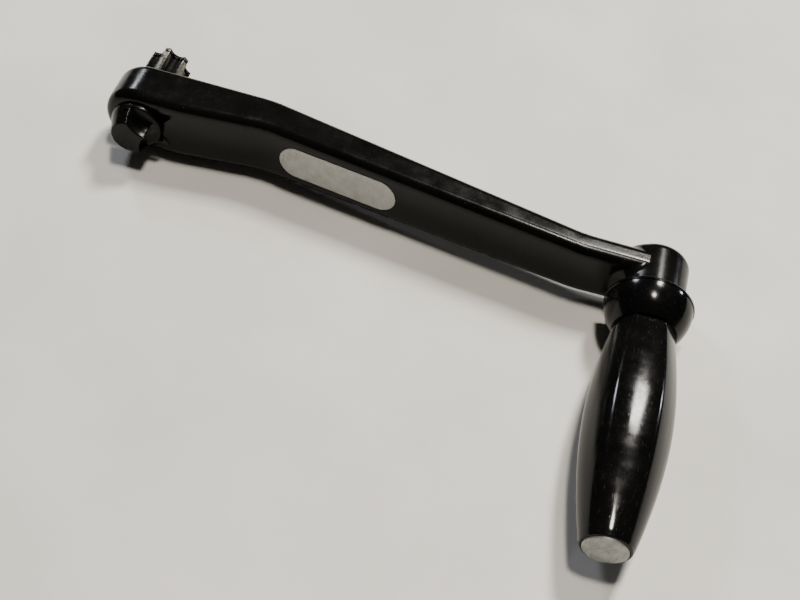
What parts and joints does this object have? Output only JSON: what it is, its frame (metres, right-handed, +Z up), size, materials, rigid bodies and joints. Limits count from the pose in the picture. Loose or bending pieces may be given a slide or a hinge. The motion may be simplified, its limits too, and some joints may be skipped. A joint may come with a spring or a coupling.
{
  "type": "crank handle",
  "caption": "Cranked black winch handle with a toothed drive, a turn-to-lock knob and a free-spinning barrel grip.",
  "frame": {"origin": "on the drive axis, in the plane of the arm's face that the drive stands out of", "axes": "+X along the arm to the grip, +Y out along the drive, +Z up as it lies"},
  "size_m": [0.287, 0.1959, 0.04],
  "materials": {
    "black_enamel": "gloss black enamel on an alloy casting, worn on the drive",
    "black_steel": "gloss black enamel on steel, worn at the points",
    "black_knob": "gloss black",
    "black_grip": "gloss black moulding",
    "plate_metal": "satin silver, lightly scratched",
    "dull_alloy": "dull, lightly scratched",
    "steel": "plain stainless",
    "bronze": "plain bronze",
    "bush_plastic": "natural acetal",
    "cover_plastic": "black acetal",
    "washer_plastic": "black acetal",
    "seal_rubber": "black nitrile"
  },
  "bodies": {
    "arm": {"crank_arm": "black_enamel", "name_plate": "plate_metal", "drive_bush": "bush_plastic", "stop_pin": "steel", "detent_ball": "steel", "detent_spring": "steel", "chamber_cover": "cover_plastic", "knob_washer": "washer_plastic", "grip_spindle": "dull_alloy", "thrust_washer": "bronze", "end_washer": "bronze"},
    "lock": {"lock_spindle": "steel", "spindle_seal": "seal_rubber", "lock_knob": "black_knob", "knob_pin": "steel", "lock_plate": "black_steel", "lock_plate_screw": "steel"},
    "grip": {"grip": "black_grip", "inner_bush": "bush_plastic", "outer_bush": "bush_plastic"}
  },
  "joints": [
    {"name": "grip_spin", "type": "hinge", "parent": "arm", "child": "grip", "pos_m": [0.25, -0.11, 0], "axis": [0, 1, 0], "continuous": true},
    {"name": "knob_turn", "type": "hinge", "parent": "arm", "child": "lock", "pos_m": [0, 0, 0], "axis": [0, 1, 0], "range_deg": [0, 30]}
  ]
}
